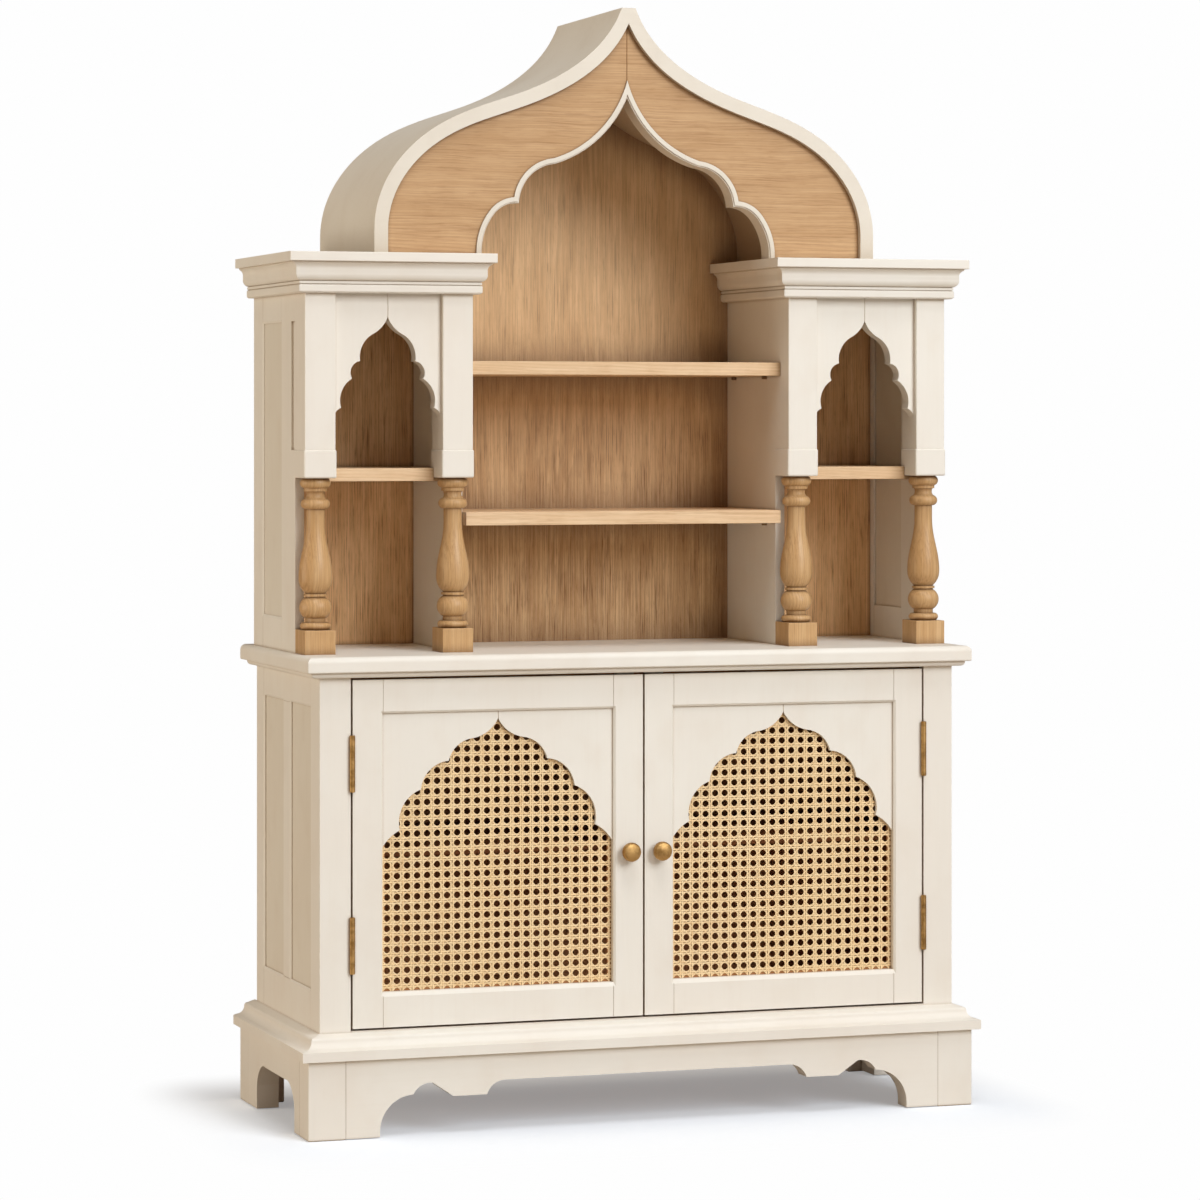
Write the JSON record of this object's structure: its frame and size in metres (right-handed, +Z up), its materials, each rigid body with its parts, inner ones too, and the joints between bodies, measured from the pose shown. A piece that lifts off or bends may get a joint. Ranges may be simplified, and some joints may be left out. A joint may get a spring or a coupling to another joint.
{
  "type": "dresser cabinet",
  "caption": "Tall cabinet: cupboard with arched cane doors on a plinth, open hutch with turned-column towers, bay shelves and an onion dome.",
  "frame": {"origin": "on the floor, under the middle of the footprint", "axes": "+X to the right seen from the front, +Y to the back, +Z up"},
  "size_m": [1.388, 0.544, 2.15],
  "materials": {
    "cream_paint": "satin cream paint over wood",
    "oak": "waxed light oak",
    "plain_board": "painted or plain interior board",
    "cane": "natural woven rattan cane",
    "brass": "antique brass, satin",
    "steel": "bronzed steel",
    "catch": "matte plastic housing with a magnet"
  },
  "bodies": {
    "root": {"balusters_left": "oak", "balusters_right": "oak", "base_moulding": "cream_paint", "carcase_floor": "plain_board", "centre_back": "oak", "centre_shelf_lower": "oak", "centre_shelf_upper": "oak", "cornice_board_left": "cream_paint", "cornice_board_right": "cream_paint", "cornice_moulding_left": "cream_paint", "cornice_moulding_right": "cream_paint", "counter_moulding": "cream_paint", "counter_top": "cream_paint", "dome_arch_trim": "cream_paint", "dome_fascia": "oak", "dome_lining": "cream_paint", "dome_roof": "cream_paint", "door_catches": "catch", "face_frame": "cream_paint", "hinge_frame_leaves": "brass", "hinge_pins": "brass", "lower_back_board": "plain_board", "lower_shelf": "plain_board", "lower_side_frame_left": "cream_paint", "lower_side_frame_right": "cream_paint", "lower_side_panels": "cream_paint", "plinth_apron_front": "cream_paint", "plinth_aprons_side": "cream_paint", "plinth_corner_blocks": "plain_board", "plinth_legs": "cream_paint", "plinth_rail_rear": "plain_board", "shelf_pins": "steel", "tower_arch_panel_left": "cream_paint", "tower_arch_panel_right": "cream_paint", "tower_back_left": "oak", "tower_back_right": "oak", "tower_inner_side_left": "cream_paint", "tower_inner_side_right": "cream_paint", "tower_posts_left": "cream_paint", "tower_posts_right": "cream_paint", "tower_shelf_left": "oak", "tower_shelf_right": "oak", "tower_side_frame_left": "cream_paint", "tower_side_frame_right": "cream_paint", "tower_side_panels": "cream_paint"},
    "left_door": {"left_door_frame": "cream_paint", "left_door_arch_panel": "cream_paint", "left_door_cane": "cane", "left_door_cane_beads": "plain_board", "left_door_knob": "brass", "left_door_hinge_leaves": "brass", "left_door_strike": "steel"},
    "right_door": {"right_door_frame": "cream_paint", "right_door_arch_panel": "cream_paint", "right_door_cane": "cane", "right_door_cane_beads": "plain_board", "right_door_knob": "brass", "right_door_hinge_leaves": "brass", "right_door_strike": "steel"}
  },
  "joints": [
    {"name": "left_door_hinge", "type": "hinge", "parent": "root", "child": "left_door", "pos_m": [-0.582, -0.2333, 0.531], "axis": [0, 0, -1], "range_deg": [0, 175]},
    {"name": "right_door_hinge", "type": "hinge", "parent": "root", "child": "right_door", "pos_m": [0.582, -0.2333, 0.531], "axis": [0, 0, 1], "range_deg": [0, 175]}
  ]
}
